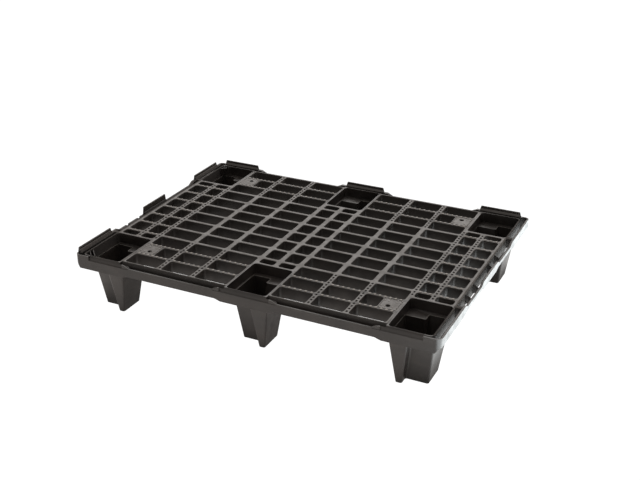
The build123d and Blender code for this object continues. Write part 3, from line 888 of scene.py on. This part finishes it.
# The paler top colour here is scuffing and painted highlight. The palest colour is a painted highlight on
# the pips' crowns.
deck_black = plastic(
    "scuffed_black_painted_light",
    dark=(0.0105, 0.0088, 0.0075, 1),
    light=(0.018, 0.0145, 0.012, 1),
    worn_and_highlight=(0.085, 0.080, 0.074, 1),
    crown_highlight=(0.20, 0.19, 0.175, 1),
    top_amount=0.9,
    rough=0.45,
    dull_walls=0.1,
)
# This finish is a painted highlight along the edge of each well.
line_highlight_black = plastic(
    "edge_highlight_black",
    dark=(0.07, 0.066, 0.06, 1),
    light=(0.10, 0.095, 0.088, 1),
    worn_and_highlight=(0.10, 0.095, 0.088, 1),
    crown_highlight=(0.10, 0.095, 0.088, 1),
    top_amount=0.0,
    rough=0.45,
)
pads = [piece for node, piece in bodies.items() if node.startswith("anchor")]
others = [piece for node, piece in bodies.items() if not node.startswith("anchor")]
FINISHES = [
    (deck_black, [deck, pad_pips] + pads),
    (line_highlight_black, [well_lines]),
    (body_black, [corner_gussets, lip_flares, band_sweeps] + others),
]
for finish, pieces in FINISHES:
    for piece in pieces:
        piece.data.materials.append(finish)
    print(finish.name, "on", len(pieces), "pieces")

# %% [markdown]
# ## Floor and light
# The pallet stands on a plain white sweep, as in a catalogue studio. The camera sees the floor and the
# surround as even white. What they throw on the plastic is shaped: the floor is dim under the pallet, even
# in front and strong on the right, and the surround is dim in front and brighter behind and above.


# %% Floor and lights
SWEEP = 6.0  # half the floor's side, in metres
WHITE = 1.1
UNDER_GLOW, FRONT_GLOW, RIGHT_GLOW = 0.36, 1.2, 6.6  # what the floor throws
EVEN_GLOW, BEHIND_GLOW, ABOVE_GLOW = 0.25, 0.75, 0.8  # what the surround throws
EDGE_X, EDGE_Y = (0.36, 0.42), (0.25, 0.33)  # where the floor turns from dim to open, in metres
RIGHT_RAMP, TINT_RAMP = (0.385, 0.52), (0.3, 0.5)  # where it brightens and turns cool, going right
WARM, COOL, PLAIN = (1.0, 0.93, 0.88, 1), (0.93, 0.985, 1.0, 1), (1, 1, 1, 1)


def seen_or_thrown(tree, thrown):
    """White for what the camera sees directly, and the thrown strength for every other ray."""
    seen = add(tree, "ShaderNodeLightPath").outputs["Is Camera Ray"]
    mix = add(tree, "ShaderNodeMix", {"Factor": seen, "A": thrown, "B": WHITE}, data_type="FLOAT")
    return mix.outputs["Result"]


def tint_of(tree, thrown):
    """Plain white for what the camera sees directly, and the thrown tint for every other ray."""
    seen = add(tree, "ShaderNodeLightPath").outputs["Is Camera Ray"]
    return mix_colour(tree, seen, thrown, PLAIN)


def make_floor():
    """A flat floor whose glow is least under the pallet and greatest to its right."""
    mesh = bpy.data.meshes.new("floor")
    corners = [(-SWEEP, -SWEEP, 0), (SWEEP, -SWEEP, 0), (SWEEP, SWEEP, 0), (-SWEEP, SWEEP, 0)]
    mesh.from_pydata(corners, [], [(0, 1, 2, 3)])
    floor = bpy.data.objects.new("floor", mesh)
    bpy.context.scene.collection.objects.link(floor)
    material = bpy.data.materials.new("white_sweep")
    material.use_nodes = True
    tree = material.node_tree
    tree.nodes.clear()
    where = add(tree, "ShaderNodeTexCoord").outputs["Object"]
    apart = add(tree, "ShaderNodeSeparateXYZ", {0: where})
    x, y = apart.outputs["X"], apart.outputs["Y"]
    # Outside is zero under the pallet and one beyond its rim, on whichever side is farther out.
    out_x = ramp_between(tree, math_node(tree, "ABSOLUTE", x), *EDGE_X)
    out_y = ramp_between(tree, math_node(tree, "ABSOLUTE", y), *EDGE_Y)
    outside = math_node(tree, "MAXIMUM", out_x, out_y)
    open_floor = product(tree, outside, FRONT_GLOW - UNDER_GLOW)
    right = product(tree, ramp_between(tree, x, *RIGHT_RAMP), RIGHT_GLOW - FRONT_GLOW)
    glow = math_node(tree, "ADD", math_node(tree, "ADD", open_floor, UNDER_GLOW), right)
    tint = tint_of(tree, mix_colour(tree, ramp_between(tree, x, *TINT_RAMP), WARM, COOL))
    light = add(tree, "ShaderNodeEmission", {"Color": tint, "Strength": seen_or_thrown(tree, glow)})
    # From below the floor is clear, so that the pallet's underside can be looked at.
    clear = add(tree, "ShaderNodeBsdfTransparent")
    below = add(tree, "ShaderNodeNewGeometry").outputs["Backfacing"]
    both = add(tree, "ShaderNodeMixShader", {0: below, 1: light.outputs[0], 2: clear.outputs[0]})
    out = add(tree, "ShaderNodeOutputMaterial")
    tree.links.new(both.outputs[0], out.inputs["Surface"])
    mesh.materials.append(material)


def make_lamp(name, place, aim, size, power):
    """A square area lamp turned to face a point."""
    data = bpy.data.lights.new(name, "AREA")
    data.size, data.energy = size, power
    lamp = bpy.data.objects.new(name, data)
    bpy.context.scene.collection.objects.link(lamp)
    lamp.location = place
    lamp.rotation_euler = (Vector(aim) - Vector(place)).to_track_quat("-Z", "Y").to_euler()
    return lamp


def make_surround():
    """A white surround that throws least from the front and most from above and behind."""
    world = bpy.data.worlds.new("surround")
    world.use_nodes = True
    tree = world.node_tree
    apart = add(tree, "ShaderNodeSeparateXYZ", {0: add(tree, "ShaderNodeTexCoord").outputs["Generated"]})
    behind = product(tree, ramp_between(tree, apart.outputs["Y"], -0.4, 0.6), BEHIND_GLOW)
    above = product(tree, ramp_between(tree, apart.outputs["Z"], 0.5, 0.95), ABOVE_GLOW)
    thrown = math_node(tree, "ADD", math_node(tree, "ADD", behind, above), EVEN_GLOW)
    background = tree.nodes["Background"]
    tree.links.new(tint_of(tree, WARM), background.inputs["Color"])
    tree.links.new(seen_or_thrown(tree, thrown), background.inputs["Strength"])
    bpy.context.scene.world = world


make_floor()
make_surround()
LOOK_AT = (0, 0, 0.1)
make_lamp("back_softbox", (-0.9, 2.6, 1.9), LOOK_AT, 2.4, 24)
print("lamps:", [lamp.name for lamp in bpy.data.lights])
bpy.context.scene.view_settings.view_transform = "Standard"
